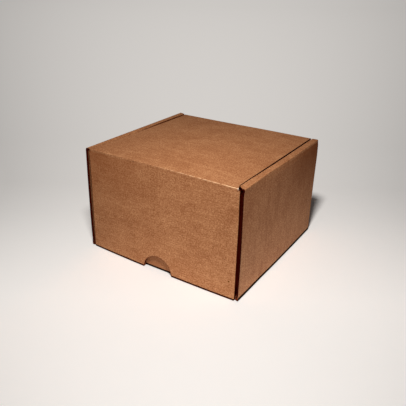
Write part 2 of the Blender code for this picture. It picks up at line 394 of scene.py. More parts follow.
class FoldedPath:
    """A run of board seen edge on: straight between corners, and round each of them, always turning left.

    Called with lengths along it, it gives places, outward normals and how near a fold each is, 0 to 1.
    """

    def __init__(self, corners):
        corners = np.array(corners, float)
        self.runs = []
        self.folds = []
        start, length = corners[0], 0.0
        for index in range(1, len(corners)):
            way = corners[index] - corners[index - 1]
            way /= np.linalg.norm(way)
            end = corners[index]
            turn = 0.0
            if index < len(corners) - 1:
                on = corners[index + 1] - corners[index]
                turn = math.acos(np.clip(way @ on / np.linalg.norm(on), -1, 1))
                end = end - way * FOLD_RADIUS * math.tan(turn / 2)
            self.runs.append((length, start, way, 0.0))
            length += np.linalg.norm(end - start)
            if turn:
                self.runs.append((length, end, way, turn))
                self.folds.append((length, length + FOLD_RADIUS * turn))
                length += FOLD_RADIUS * turn
                start = corners[index] + on / np.linalg.norm(on) * FOLD_RADIUS * math.tan(turn / 2)
        self.length = length

    def __call__(self, lengths):
        lengths = np.asarray(lengths, float)
        starts = np.array([run[0] for run in self.runs])
        which = np.clip(np.searchsorted(starts, lengths, "right") - 1, 0, len(starts) - 1)
        place = np.zeros((*lengths.shape, 2))
        normal = np.zeros((*lengths.shape, 2))
        for index, (begins, start, way, turn) in enumerate(self.runs):
            here = which == index
            past = (lengths[here] - begins)[:, None]
            right = np.array((way[1], -way[0]))
            if turn:
                angle = past / FOLD_RADIUS
                normal[here] = right * np.cos(angle) + way * np.sin(angle)
                place[here] = start - right * FOLD_RADIUS + normal[here] * FOLD_RADIUS
            else:
                place[here] = start + way * past
                normal[here] = right
        fold = np.zeros(lengths.shape)
        for begins, ends in self.folds:
            off = np.abs(lengths - (begins + ends) / 2) / FOLD_REACH
            fold = np.maximum(fold, np.cos(np.minimum(off, 1) * math.pi / 2) ** 2)
        return place, normal, fold

    def middle(self, number):
        return sum(self.folds[number]) / 2

    def before(self, number):
        return self.middle(number) - FOLD_REACH

    def after(self, number):
        return self.middle(number) + FOLD_REACH


def new_group(name, kind, inputs, outputs):
    """A node group, what it is given and what it gives. Each socket is named with its kind of value."""
    group = bpy.data.node_groups.new(name, kind)
    for in_out, sockets in (("INPUT", inputs), ("OUTPUT", outputs)):
        for socket, value in sockets:
            group.interface.new_socket(socket, in_out=in_out, socket_type="NodeSocket" + value)
    return group, node(group, "NodeGroupInput").outputs, node(group, "NodeGroupOutput").inputs


def corrugated_tree():
    """Geometry nodes that make a folded sheet real board: two liners, with a fluted paper between them."""
    inputs = [("Sheet", "Geometry")]
    inputs += [(name, "Float") for name in ("Board", "Liner", "Fluting", "Flute Pitch", "Fold Crush")]
    inputs += [(name, "Material") for name in ("Outside", "Inside", "Flutes", "Cut Edge")]
    tree, given, result = new_group("corrugated_board", "GeometryNodeTree", inputs, [("Board", "Geometry")])
    board, liner, fluting = given["Board"], given["Liner"], given["Fluting"]

    def stored(name, kind):
        read = node(tree, "GeometryNodeInputNamedAttribute", data_type=kind)
        read.inputs["Name"].default_value = name
        return read.outputs["Attribute"]

    out = stored("out", "FLOAT_VECTOR")
    squeezed = minus(tree, 1.0, times(tree, stored("fold", "FLOAT"), given["Fold Crush"]))
    turn = times(tree, maths(tree, "DIVIDE", stored("across", "FLOAT"), given["Flute Pitch"]), math.tau)
    spare = minus(tree, minus(tree, board, fluting), times(tree, liner, 2.0))
    wave = times(tree, maths(tree, "MULTIPLY_ADD", maths(tree, "SINE", turn), 0.5, 0.5), spare)

    def changed(kind, shape, chosen, name, value):
        """A node that changes the shape, or only the chosen part of it, by one named value."""
        change = node(tree, kind)
        feed(tree, change.inputs["Geometry"], shape)
        if chosen is not None:
            feed(tree, change.inputs["Selection"], chosen)
        feed(tree, change.inputs[name], value)
        return change.outputs[0]

    def moved(shape, depth, chosen=None):
        """The shape pushed into the board by a depth, which shrinks where the board is crushed."""
        shift = scaled(tree, out, times(tree, times(tree, depth, squeezed), -1.0))
        return changed("GeometryNodeSetPosition", shape, chosen, "Offset", shift)

    def painted(shape, material, chosen=None):
        return changed("GeometryNodeSetMaterial", shape, chosen, "Material", material)

    def joined_shapes(shapes):
        both = node(tree, "GeometryNodeJoinGeometry")
        for shape in shapes:
            tree.links.new(shape, both.inputs[0])
        return both.outputs[0]

    def paper(depth, thickness, top, under):
        """One closed layer of paper, its outer face at this depth."""
        inner = moved(given["Sheet"], plus(tree, depth, thickness))
        raised = node(tree, "GeometryNodeExtrudeMesh", mode="FACES")
        feed(tree, raised.inputs["Mesh"], painted(inner, top))
        raised.inputs["Offset Scale"].default_value = 0.0
        raised.inputs["Individual"].default_value = False
        lifted = moved(raised.outputs["Mesh"], times(tree, thickness, -1.0), raised.outputs["Top"])
        lifted = painted(lifted, given["Cut Edge"], raised.outputs["Side"])
        turned = node(tree, "GeometryNodeFlipFaces")
        feed(tree, turned.inputs["Mesh"], painted(inner, under))
        closed = node(tree, "GeometryNodeMergeByDistance")
        feed(tree, closed.inputs["Geometry"], joined_shapes([turned.outputs[0], lifted]))
        closed.inputs["Distance"].default_value = WELD_DISTANCE
        return closed.outputs[0]

    layers = [
        paper(0.0, liner, given["Outside"], given["Flutes"]),
        paper(plus(tree, liner, wave), fluting, given["Flutes"], given["Flutes"]),
        paper(minus(tree, board, liner), liner, given["Flutes"], given["Inside"]),
    ]
    real = node(tree, "GeometryNodeRealizeInstances")
    feed(tree, real.inputs["Geometry"], joined_shapes(layers))
    feed(tree, result["Board"], real.outputs[0])
    return tree


CORRUGATED = corrugated_tree()


def stretched(tree, place, scale, start=(0, 0, 0), turn=0.0):
    made = node(tree, "ShaderNodeMapping")
    values = (("Vector", place), ("Location", start), ("Rotation", (0, 0, turn)), ("Scale", scale))
    for name, value in values:
        feed(tree, made.inputs[name], value)
    return made.outputs[0]


FELT = {
    # size in metres, how many times longer across the flutes, turn, detail, seed
    "long fibres": (0.00035, 4, 0.0, 3, 0.0),
    "fibres one way": (0.0004, 3.5, math.radians(34), 3, 5.0),
    "fibres the other way": (0.0004, 3.5, math.radians(-38), 3, 9.0),
    "grain": (0.0011, 1.25, 0.0, 2, 3.0),
    "small clouds": (0.0042, 1.4, 0.2, 3, 11.0),
    "large clouds": (0.021, 1.2, 0.0, 2, 17.0),
    "streaks": (0.0021, 16, 0.0, 2, 23.0),
}
FELT_ROUGHNESS = 0.55
SEED_STEPS = (1.0, 1.7, 0.3)
# The sheet is divided into cells, so many to the metre, and a few of them hold a dark fleck of some size.
FLECK_CELLS = (190, 330, 1)
FLECK_SIZE = 0.16
FLECK_RARITY = 6.0
FLECK_EDGE = 0.02
# Fibres that stand up are a little smoother. Flutes and clouds show faintly in the relief too.
PAPER_ROUGHNESS = 0.78
FIBRE_SHINE = -0.35
FIBRE_HEIGHT = 1.0
FLUTE_HEIGHT = 0.10
CLOUD_HEIGHT = 0.4


def kraft_group():
    """Kraft liner: long fibres across the flutes, felted cross fibres, clouds, streaks and dark flecks."""
    inputs = [("Sheet Place", "Vector")]
    inputs += [(name, "Color") for name in ("Pale", "Middle", "Deep", "Fleck")]
    inputs += [(name, "Float") for name in ("Fibre", "Grain", "Mottle", "Streaks", "Flecks", "Washboard")]
    outputs = [("Colour", "Color"), ("Roughness", "Float"), ("Height", "Float")]
    group, given, result = new_group("kraft_paper", "ShaderNodeTree", inputs, outputs)
    sheet_place = given["Sheet Place"]

    def felt(feature):
        size, longer, turn, detail, seed = FELT[feature]
        scale = (1 / size / longer, 1 / size, 1 / size)
        start = [seed * step for step in SEED_STEPS]
        place = stretched(group, sheet_place, scale, start, turn)
        return noise(group, place, detail=detail, rough=FELT_ROUGHNESS)

    def centred(value, amount):
        return times(group, minus(group, value, 0.5), amount)

    fibres = plus(group, felt("long fibres"), felt("fibres one way"))
    fibres = maths(group, "DIVIDE", plus(group, fibres, felt("fibres the other way")), 3.0)
    cloud = maths(group, "DIVIDE", plus(group, felt("small clouds"), felt("large clouds")), 2.0)
    tone = plus(group, centred(fibres, given["Fibre"]), centred(felt("grain"), given["Grain"]))
    tone = plus(group, tone, centred(cloud, given["Mottle"]))
    tone = plus(group, tone, centred(felt("streaks"), given["Streaks"]))
    across = parts(group, sheet_place)["X"]
    ridge = maths(group, "SINE", times(group, across, math.tau / FLUTE_PITCH))
    tone = plus(group, tone, times(group, ridge, given["Washboard"]))
    up = maths(group, "MAXIMUM", tone, 0.0)
    down = maths(group, "MAXIMUM", times(group, tone, -1.0), 0.0)
    colour = blended(group, maths(group, "MINIMUM", up, 1.0), given["Middle"], given["Pale"])
    colour = blended(group, maths(group, "MINIMUM", down, 1.0), colour, given["Deep"])
    cells = node(group, "ShaderNodeTexVoronoi", feature="F1")
    feed(group, cells.inputs["Vector"], stretched(group, sheet_place, FLECK_CELLS))
    cells.inputs["Scale"].default_value = 1.0
    chance = node(group, "ShaderNodeSeparateColor")
    feed(group, chance.inputs[0], cells.outputs["Color"])
    reach = times(group, maths(group, "POWER", chance.outputs["Red"], FLECK_RARITY), FLECK_SIZE)
    dark = ramp(group, minus(group, cells.outputs["Distance"], reach), FLECK_EDGE, -FLECK_EDGE)
    dark = times(group, dark, times(group, chance.outputs["Green"], given["Flecks"]))
    feed(group, result["Colour"], blended(group, dark, colour, given["Fleck"]))
    feed(group, result["Roughness"], plus(group, centred(fibres, FIBRE_SHINE), PAPER_ROUGHNESS))
    height = plus(group, centred(fibres, FIBRE_HEIGHT), times(group, ridge, FLUTE_HEIGHT))
    feed(group, result["Height"], plus(group, height, centred(cloud, CLOUD_HEIGHT)))
    return group


KRAFT = kraft_group()
# The crease's scuffs and painted highlight: so many to the metre, where the noise counts as broken, and how
# near the fold.
SCUFF_AND_HIGHLIGHT_CELLS = (420, 700, 1)
BROKEN_NOISE = (0.34, 0.56)
SCUFFED_AND_LIT_NEAR_FOLD = (0.86, 0.99)
LEAST_SCUFF_AND_HIGHLIGHT = 0.05


def crease_group():
    """Wear of a crease and a painted highlight on it: the liner is broken there into pale scuffs with dark
    cracks between them.
    """
    inputs = [("Sheet Place", "Vector"), ("Colour", "Color"), ("Scuff And Highlight", "Color"), ("Fold", "Float")]
    inputs.append(("Wear", "Float"))
    outputs = [("Colour", "Color"), ("Height", "Float")]
    group, given, result = new_group("crease_wear_and_highlight", "ShaderNodeTree", inputs, outputs)
    patches = noise(group, stretched(group, given["Sheet Place"], SCUFF_AND_HIGHLIGHT_CELLS), detail=3.0)
    broken = ramp(group, patches, *BROKEN_NOISE)
    near = ramp(group, given["Fold"], *SCUFFED_AND_LIT_NEAR_FOLD)
    mask = times(group, near, maths(group, "MULTIPLY_ADD", broken, 1 - LEAST_SCUFF_AND_HIGHLIGHT, LEAST_SCUFF_AND_HIGHLIGHT))
    mask = times(group, mask, given["Wear"])
    feed(group, result["Colour"], blended(group, mask, given["Colour"], given["Scuff And Highlight"]))
    feed(group, result["Height"], times(group, near, broken))
    return group


CREASE = crease_group()
# The burnt rim: a dark line and a wider brown one, between two distances from the cut, both uneven.
RIM_WAVES = 450.0
RIM_WOBBLE = 0.0008
DARK_LINE = (0.0007, 0.00015)
DARK_SHARE = 0.9
BROWN_LINE = (0.0016, 0.0002)
BROWN_SHARE = 0.35


def burn_group():
    """The laser browns the liner beside the cut: a thin uneven line along each cut edge."""
    inputs = [("Sheet Place", "Vector"), ("Colour", "Color"), ("Burnt", "Color"), ("Cut", "Float")]
    inputs.append(("Strength", "Float"))
    group, given, result = new_group("burnt_rim", "ShaderNodeTree", inputs, [("Colour", "Color")])
    uneven = minus(group, noise(group, given["Sheet Place"], RIM_WAVES), 0.5)
    off = maths(group, "MULTIPLY_ADD", uneven, RIM_WOBBLE, given["Cut"])
    dark = times(group, ramp(group, off, *DARK_LINE), DARK_SHARE)
    brown = times(group, ramp(group, off, *BROWN_LINE), BROWN_SHARE)
    mask = times(group, maths(group, "MAXIMUM", dark, brown), given["Strength"])
    feed(group, result["Colour"], blended(group, mask, given["Colour"], given["Burnt"]))
    return group


BURN = burn_group()


def attribute(tree, name):
    return node(tree, "ShaderNodeAttribute", attribute_name=name).outputs["Fac"]


def length_across(tree):
    """The length across the flutes on the flat sheet."""
    return parts(tree, node(tree, "ShaderNodeUVMap", uv_map="sheet").outputs["UV"])["X"]


# A mark is a function that makes a mask in a material, and gives the mask and the mark's colour. Some marks
# are stains, others are painted shade or a painted highlight.
# The laser's soot; the same colour is the painted shade in the slots of the front corners.
SOOT_AND_SLOT_SHADE = (0.052, 0.0022, 0.0005, 1)
SMOKE_REACH = (0.0024, 0.0010)
# Painted shade along the foot, where the board meets the floor: its colour and the half width of its edge.
FOOT_SHADE = (0.010, 0.004, 0.0025, 1)
FOOT_SHADE_EDGE = 0.0003
BROWN_PAPER = (0.36, 0.085, 0.028, 1)
BROWN_BELOW = (0.0040, 0.0030)
BROWN_ABOVE = (0.0007, 0.0013)


def shaded_foot(height):
    """Painted shade: the lowest board is dark up to this height, along the floor."""

    def mark(tree):
        z = parts(tree, rest_place(tree))["Z"]
        return ramp(tree, z, height + FOOT_SHADE_EDGE, height - FOOT_SHADE_EDGE), FOOT_SHADE

    return mark


def smoked(tree):
    """The laser's smoke has gone in behind the cut edges."""
    return ramp(tree, attribute(tree, "cut"), *SMOKE_REACH), SOOT_AND_SLOT_SHADE


def scuffed_foot(tree):
    """Near the floor, above the painted foot shade, the cut edges have lost their soot and show brown paper.
    """
    z = parts(tree, rest_place(tree))["Z"]
    return times(tree, ramp(tree, z, *BROWN_BELOW), ramp(tree, z, *BROWN_ABOVE)), BROWN_PAPER


OUTSIDE_TONES = (0.556, 0.275, 0.129, 1), (0.400, 0.168, 0.071, 1), (0.252, 0.086, 0.030, 1)
INSIDE_TONES = (0.50, 0.25, 0.118, 1), (0.36, 0.155, 0.066, 1), (0.235, 0.085, 0.030, 1)
FLUTE_TONES = (0.20, 0.085, 0.038, 1), (0.10, 0.038, 0.016, 1)
BURNT_TONES = (0.150, 0.014, 0.002, 1), (0.050, 0.004, 0.0008, 1)
# Height of the painted shade along the foot of the bottom and the end walls.
BOTTOM_FOOT_SHADE = 0.0022
FLECK = (0.045, 0.018, 0.009, 1)
# Pale scuffs of a worn crease, also used as its painted highlight.
SCUFF_AND_HIGHLIGHT = (0.80, 0.50, 0.29, 1)
BURNT_RIM = (0.090, 0.011, 0.002, 1)
KRAFT_AMOUNTS = {
    "Fibre": 1.9,
    "Grain": 4.0,
    "Mottle": 2.3,
    "Streaks": 0.9,
    "Flecks": 0.75,
    "Washboard": 0.04,
}
KRAFT_GLOSS = 0.12
KRAFT_RELIEF = (0.35, 0.0002)


def grouped(tree, group, values):
    """The group in a material, fed by its sockets' names."""
    made = node(tree, "ShaderNodeGroup", node_tree=group)
    for name, value in values.items():
        feed(tree, made.inputs[name], value)
    return made.outputs


def marked(tree, colour, marks, gloss=0.0):
    """The colour under its marks, which are dull."""
    for mark in marks:
        mask, tint = mark(tree)
        colour = blended(tree, mask, colour, tint)
        gloss = times(tree, gloss, minus(tree, 1.0, mask))
    return colour, gloss


def roughened(tree, shader, height, strength, distance):
    bump = node(tree, "ShaderNodeBump")
    for name, value in (("Strength", strength), ("Distance", distance), ("Height", height)):
        feed(tree, bump.inputs[name], value)
    feed(tree, shader.inputs["Normal"], bump.outputs[0])


def kraft_liner(name, tones=OUTSIDE_TONES, wear=0.0, marks=(), rim_strength=1.0, gloss=KRAFT_GLOSS):
    """Kraft liner with its flecks, crease wear and painted highlight, marks and burnt rim. wear is a number
    or makes a mask.
    """
    material, tree, shader = new_material(name)
    place = {"Sheet Place": node(tree, "ShaderNodeUVMap", uv_map="sheet").outputs["UV"]}
    pale, middle, deep = tones
    colours = {"Pale": pale, "Middle": middle, "Deep": deep, "Fleck": FLECK}
    paper = grouped(tree, KRAFT, place | colours | KRAFT_AMOUNTS)
    scuffs_and_highlight = {"Colour": paper["Colour"], "Scuff And Highlight": SCUFF_AND_HIGHLIGHT, "Fold": attribute(tree, "fold")}
    scuffs_and_highlight["Wear"] = wear(tree) if callable(wear) else wear
    scuffs_and_highlight = grouped(tree, CREASE, place | scuffs_and_highlight)
    colour, gloss = marked(tree, scuffs_and_highlight["Colour"], marks, gloss)
    rim = {"Colour": colour, "Burnt": BURNT_RIM, "Strength": rim_strength, "Cut": attribute(tree, "cut")}
    feed(tree, shader.inputs["Base Color"], grouped(tree, BURN, place | rim)["Colour"])
    feed(tree, shader.inputs["Roughness"], paper["Roughness"])
    feed(tree, shader.inputs["Specular IOR Level"], gloss)
    roughened(tree, shader, plus(tree, paper["Height"], scuffs_and_highlight["Height"]), *KRAFT_RELIEF)
    return material


# Paper of the flutes and of cut edges: shine, and strength and depth of its relief.
MOTTLED_GLOSS = 0.05
MOTTLED_RELIEF = (0.4, 0.0001)
MOTTLED_SHARES = (0.35, 0.65)
MOTTLED_SHINE = -0.2


def mottled_paper(name, tones, size, roughness, marks=(smoked,)):
    """Paper of the flutes, or a burnt cut edge: one colour broken by another, and smoked beside the cuts."""
    material, tree, shader = new_material(name)
    spots = noise(tree, rest_place(tree), 1 / size, detail=3.0)
    light, dark = tones
    colour = blended(tree, ramp(tree, spots, *MOTTLED_SHARES), dark, light)
    feed(tree, shader.inputs["Base Color"], marked(tree, colour, marks)[0])
    feed(tree, shader.inputs["Roughness"], maths(tree, "MULTIPLY_ADD", spots, MOTTLED_SHINE, roughness))
    shader.inputs["Specular IOR Level"].default_value = MOTTLED_GLOSS
    roughened(tree, shader, spots, *MOTTLED_RELIEF)
    return material


OUTSIDE = kraft_liner("outside_kraft", marks=(shaded_foot(BOTTOM_FOOT_SHADE),))
INSIDE = kraft_liner("inside_kraft", INSIDE_TONES, marks=(smoked,))
FLUTES = mottled_paper("fluting_paper", FLUTE_TONES, size=0.0015, roughness=0.95)
BURNT = mottled_paper("burnt_edge", BURNT_TONES, size=0.0012, roughness=0.9, marks=(smoked, scuffed_foot))


def fold_lines(path, low, high, sign=1):
    """The lines that a fold needs, where it lies between low and high."""
    lines = []
    for begins, ends in path.folds:
        found = sign * np.linspace(begins, ends, FOLD_STEPS + 1)
        lines += [line for line in found if low < line < high]
    return lines


# Lines nearer to each other than this are one, and a place this near to a line is on it.
SAME_LINE = 5e-6
ON_LINE = 1e-6
# A step in an edge is this wide.
STEP_WIDTH = 1e-5


def joined(*groups):
    """Sorted lines without near doubles."""
    lines = np.sort(np.concatenate([np.atleast_1d(np.asarray(group, float)) for group in groups]))
    return lines[np.concatenate([[True], np.diff(lines) > SAME_LINE])]


def flute_lines(low, high):
    """Places from low to high on the flute's own rhythm, with both ends."""
    step = FLUTE_PITCH / STEPS_A_FLUTE
    inner = np.arange(math.ceil(low / step), math.floor(high / step) + 1) * step
    least = step / 8
    inner = inner[(inner > low + least) & (inner < high - least)]
    return np.concatenate([[low], inner, [high]])


def near_cuts(low, high):
    """Extra lines beside two cut edges, on the side between them."""
    return [low + line for line in CUT_LINES] + [high - line for line in CUT_LINES]


def edged(low, high, *between):
    """Rows from one cut edge to the other, with the extra ones beside both."""
    near, far = [low + line for line in CUT_LINES], [high - line for line in CUT_LINES[::-1]]
    return np.stack([low, *near, *between, *far, high])


def cut_distance(across, along, kept, joints, uncut):
    """How far each point of the flat sheet is from the nearest cut edge.

    joints are the grid's sides that aren't cut, and uncut says of a place on an edge whether another board
    goes on there.
    """
    around = np.pad(kept, 1)
    level = around[1:, 1:-1] != around[:-1, 1:-1]
    upright = around[1:-1, 1:] != around[1:-1, :-1]
    sides = (("low", level, 0), ("high", level, -1), ("left", upright.T, 0), ("right", upright.T, -1))
    for side, lone, row in sides:
        if side in joints:
            lone[row] = False
    flat = np.stack([across, along], -1)
    edges = [(flat[row, column], flat[row, column + 1]) for row, column in zip(*np.nonzero(level))]
    edges += [(flat[row, column], flat[row + 1, column]) for row, column in zip(*np.nonzero(upright))]
    spots = []
    for a, b in edges:
        if uncut and uncut(*(a + b) / 2):
            continue
        count = max(1, int(np.linalg.norm(b - a) / CUT_LINES[0] + 0.5))
        spots += [a + (b - a) * share / count for share in range(count + 1)]
    if not spots:
        return np.full(across.shape, CUT_FAR)
    tree = KDTree(len(spots))
    for index, spot in enumerate(spots):
        tree.insert((*spot, 0.0), index)
    tree.balance()
    found = [tree.find((*spot, 0.0))[2] for spot in flat.reshape(-1, 2)]
    return np.minimum(np.array(found), CUT_FAR).reshape(across.shape)


def folded_sheet(
    name,
    columns,
    rows,
    path_across,
    path_along,
    keep=None,
    signs=(1, 1),
    mirrored=False,
    joints=(),
    uncut=None,
):
    """The panel's sheet as a grid in its folded place.

    columns are lengths across the flutes. rows are lengths along them, or a function that gives these for
    the columns. keep says which cells there are, by their middles. signs turn the finished grid over to the
    other side of the box. mirrored says that the path along is followed both ways from the middle.
    """
    columns = np.asarray(columns, float)
    if callable(rows):
        along = rows(columns)
    else:
        along = np.repeat(np.asarray(rows, float)[:, None], len(columns), 1)
    across = np.repeat(columns[None, :], len(along), 0)
    kept = np.ones((len(along) - 1, len(columns) - 1), bool)
    if keep:
        x = np.abs(across[:-1, :-1] + across[1:, 1:]) / 2
        kept = keep(x, (along[:-1, :-1] + along[1:, 1:]) / 2)
    across, along = signs[0] * across, signs[1] * along
    a, na, fold_a = path_across(np.abs(across))
    side = np.where(across < 0, -1.0, 1.0)
    b, nb, fold_b = path_along(np.abs(along) if mirrored else along)
    way = np.where(along < 0, -1.0, 1.0) if mirrored else np.ones(along.shape)
    depth = a[..., 1]
    in_y, in_z = b[..., 0] - depth * nb[..., 0], b[..., 1] - depth * nb[..., 1]
    place = np.stack([side * a[..., 0], way * in_y, in_z], -1)
    out = np.stack([side * na[..., 0], way * -na[..., 1] * nb[..., 0], -na[..., 1] * nb[..., 1]], -1)
    index = np.arange(across.size).reshape(across.shape)
    cells = np.stack([index[:-1, :-1], index[:-1, 1:], index[1:, 1:], index[1:, :-1]], -1)[kept]
    points, outs = place.reshape(-1, 3), out.reshape(-1, 3)
    first = cells[len(cells) // 2]
    facing = np.cross(points[first[2]] - points[first[0]], points[first[3]] - points[first[1]])
    if facing @ outs[first[0]] < 0:
        cells = cells[:, ::-1]
    used = np.unique(cells)
    renamed = np.zeros(len(points), int)
    renamed[used] = np.arange(len(used))
    mesh = bpy.data.meshes.new(name)
    mesh.from_pydata(points[used], [], renamed[cells].tolist())
    mesh.attributes.new("out", "FLOAT_VECTOR", "POINT").data.foreach_set(
        "vector", outs[used].ravel().astype(np.float32)
    )
    cut = cut_distance(across, along, kept, joints, uncut)
    for key, values in (("across", across), ("fold", np.maximum(fold_a, fold_b)), ("cut", cut)):
        values = values.reshape(-1)[used].astype(np.float32)
        mesh.attributes.new(key, "FLOAT", "POINT").data.foreach_set("value", values)
    flat = np.stack([across.reshape(-1), along.reshape(-1)], -1)[used]
    corner = np.zeros(len(mesh.loops), int)
    mesh.loops.foreach_get("vertex_index", corner)
    mesh.uv_layers.new(name="sheet").data.foreach_set("uv", flat[corner].astype(np.float32).ravel())
    return mesh


def board_piece(name, mesh, warp=None, outside=OUTSIDE):
    """Makes real corrugated board of a sheet. warp moves the board's points a little, as handling does."""
    piece = bpy.data.objects.new(name, mesh)
    bpy.context.scene.collection.objects.link(piece)
    maker = piece.modifiers.new("corrugated", "NODES")
    maker.node_group = CORRUGATED
    given = {"Board": BOARD, "Liner": LINER, "Fluting": FLUTING, "Flute Pitch": FLUTE_PITCH}
    given |= {"Fold Crush": FOLD_CRUSH, "Outside": outside, "Inside": INSIDE}
    given |= {"Flutes": FLUTES, "Cut Edge": BURNT}
    for item in CORRUGATED.interface.items_tree:
        if item.in_out == "INPUT" and item.name in given:
            maker[item.identifier] = given[item.name]
    real = bpy.data.meshes.new_from_object(piece.evaluated_get(bpy.context.evaluated_depsgraph_get()))
    piece.modifiers.clear()
    piece.data = real
    real.name = name
    for key in ("out", "across"):
        real.attributes.remove(real.attributes[key])
    if warp:
        points = np.zeros(len(real.vertices) * 3, np.float32)
        real.vertices.foreach_get("co", points)
        points = points.reshape(-1, 3).astype(float)
        real.vertices.foreach_set("co", (points + warp(points)).astype(np.float32).ravel())
    real.shade_smooth()
    real.set_sharp_from_angle(angle=SMOOTH_UNDER)
    return piece


def smooth_step(value, low, high):
    share = np.clip((value - low) / (high - low), 0, 1)
    return share * share * (3 - 2 * share)


def spread(points, left, right):
    """How far out a side stands, by its place from back to front."""
    front = (HALF_DEPTH - points[:, 1]) / OUTER_DEPTH
    to_left, to_right = np.interp(front, SPREAD_SHARES, left), np.interp(front, SPREAD_SHARES, right)
    return np.where(points[:, 0] < 0, -to_left, to_right)


def handled(points):
    """How handling has moved the base's board.

    Closing has pressed the inner layers of the sides out, tucked the front corners in and pushed the left
    strip's inner edge down. The right wall is bulged, and the side walls' front edges stand off or in. The
    front wall bows out at its foot, whose corners are drawn forward. Both strips' outer folds stand high.
    """
    x, y, z = points.T
    level = np.clip(z / OUTER_HEIGHT, 0, 1)
    front = (HALF_DEPTH - y) / OUTER_DEPTH
    clear = HALF_WIDTH - BOARD
    wide = np.abs(x)
    shift = np.zeros_like(points)

    layer = np.clip((clear - wide) / (clear - ROLL_INNER_X), 0, 1) * np.clip(wide / ROLL_INNER_X, 0, 1) ** 3
    shift[:, 0] = spread(points, LEFT_LAYER_SPREAD, RIGHT_LAYER_SPREAD) * layer * level**3
    bulge = np.interp(z, EDGE_LEVELS, RIGHT_WALL_OUT) * np.interp(front, WALL_SHARES, WALL_PROFILE)
    shift[:, 0] += bulge * smooth_step(x, ROLL_INNER_X, clear)
    near_front = smooth_step(front, *EDGE_FRONT)
    left_edge = np.interp(z, EDGE_LEVELS, LEFT_EDGE_OUT) * np.maximum(near_front, level**3)
    right_edge = np.interp(z, EDGE_LEVELS, RIGHT_EDGE_OUT) * near_front
    shift[:, 0] += np.where(x < 0, -left_edge, right_edge) * smooth_step(wide, clear - 2 * FIT_GAP, clear)
    tuck = smooth_step(y, *TUCK_Y) * smooth_step(wide, *TUCK_X) * (wide < clear - FIT_GAP)
    shift[:, 0] -= np.sign(x) * CORNER_TUCK * tuck

    corner = smooth_step(front, *FOOT_FRONT) * smooth_step(wide, FOOT_X_FROM, clear)
    corner *= 1 - smooth_step(z, *FOOT_Z)
    shift[:, 1] = -np.where(x < 0, LEFT_FOOT_OUT, RIGHT_FOOT_OUT) * corner
    bow = FRONT_WALL_BOW * np.clip(1 - (x / END_WALL_HALF) ** 2, 0, 1) * (1 - level)
    shift[:, 1] -= bow * smooth_step(front, *BOW_FRONT)

    inner_edge = smooth_step(-x, ROLL_INNER_X - STRIP_DIP_WIDTH, ROLL_INNER_X)
    inner_edge *= 1 - smooth_step(-x, clear - STRIP_FOLD_WIDTH, clear)
    shift[:, 2] = -STRIP_DIP * smooth_step(front, *STRIP_DIP_FRONT) * inner_edge * level**2
    hump = np.exp(-(((front - STRIP_HUMP[0]) / STRIP_HUMP[1]) ** 2))
    lift = np.where(x < 0, np.interp(front, LEFT_STRIP_SHARES, LEFT_STRIP_LIFT), RIGHT_STRIP_LIFT * hump)
    shift[:, 2] += lift * smooth_step(wide, STRIP_LIFT_FROM, clear) * level**4
    return shift


FLAT = FoldedPath([(0, 0), (1, 0)])
LID_HALF = 0.0748
FRONT_LEAN = math.atan2(BOARD + FIT_GAP, WALL_TOP - WALL_FOOT)
FLAP_CLEARANCE = 0.0002
FLAP_LENGTH = OUTER_HEIGHT - FLAP_CLEARANCE
SIDE_PATH = FoldedPath(
    [
        (0, 0),
        (HALF_WIDTH, 0),
        (HALF_WIDTH, OUTER_HEIGHT),
        (ROLL_INNER_X, OUTER_HEIGHT),
        (ROLL_INNER_X, FIT_GAP),
    ]
)
FRONT_PATH = FoldedPath(
    [(0, 0), (HALF_DEPTH + WALL_FOOT * math.tan(FRONT_LEAN), 0), (HALF_DEPTH - BOARD - FIT_GAP, WALL_TOP)]
)
BACK_PATH = FoldedPath(
    [
        (0, 0),
        (HALF_DEPTH, 0),
        (HALF_DEPTH, OUTER_HEIGHT),
        (-HALF_DEPTH, OUTER_HEIGHT),
        (-HALF_DEPTH - FLAP_LENGTH * math.sin(FRONT_LEAN), OUTER_HEIGHT - FLAP_LENGTH * math.cos(FRONT_LEAN)),
    ]
)


def bottom():
    edge = SIDE_PATH.before(0)
    front, back = FRONT_PATH.before(0), BACK_PATH.before(0)
    slots = [sign * x for sign in (-1, 1) for x in (SLOT_INNER_X, SLOT_OUTER_X, END_WALL_HALF)]
    columns = joined(flute_lines(-edge, edge), slots)
    ends = [sign * (TAB_MIDDLE + half) for sign in (-1, 1) for half in (-SLOT_HALF, SLOT_HALF)]
    low, high = -HALF_DEPTH + CORNER_SETBACK, HALF_DEPTH - CORNER_SETBACK
    rows = joined([low, -front, back, high], near_cuts(low, high), ends)

    def keep(x, y):
        slot = (x > SLOT_INNER_X) & (x < SLOT_OUTER_X) & (np.abs(np.abs(y) - TAB_MIDDLE) < SLOT_HALF)
        return ~slot & (((y > -front) & (y < back)) | (x > END_WALL_HALF))

    def uncut(x, y):
        return abs(x) < END_WALL_HALF - ON_LINE and (y < ON_LINE - front or y > back - ON_LINE)

    sheet = folded_sheet(
        "bottom_board",
        columns,
        rows,
        SIDE_PATH,
        FLAT,
        keep,
        mirrored=True,
        joints=("left", "right"),
        uncut=uncut,
    )
    piece = board_piece("bottom_board", sheet, handled)
    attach(piece, "base")
    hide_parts("bottom_panel")


bottom()

# Front and back walls, with their corner flaps.
# Each is one wall of board, folded up from the bottom. Its two end flaps are turned in, and lie between the
# layers of the rolled sides.
CORNER_FLAP_TIP = 0.0468
CORNER_FLAP_FOOT = 0.0025
CORNER_FLAP_TOP = 0.0941
CORNER_FLAP_TAPER = 0.003
CORNER_FLAP_RADIUS = 0.006
CORNER_STEPS = 9
WALL_ROWS = 5
FRONT_WALL_TRIM_X = 0.0725
FRONT_WALL_TRIM = 0.0045
NOTCH_MIDDLE = (0.0, -0.0770, 0.0)
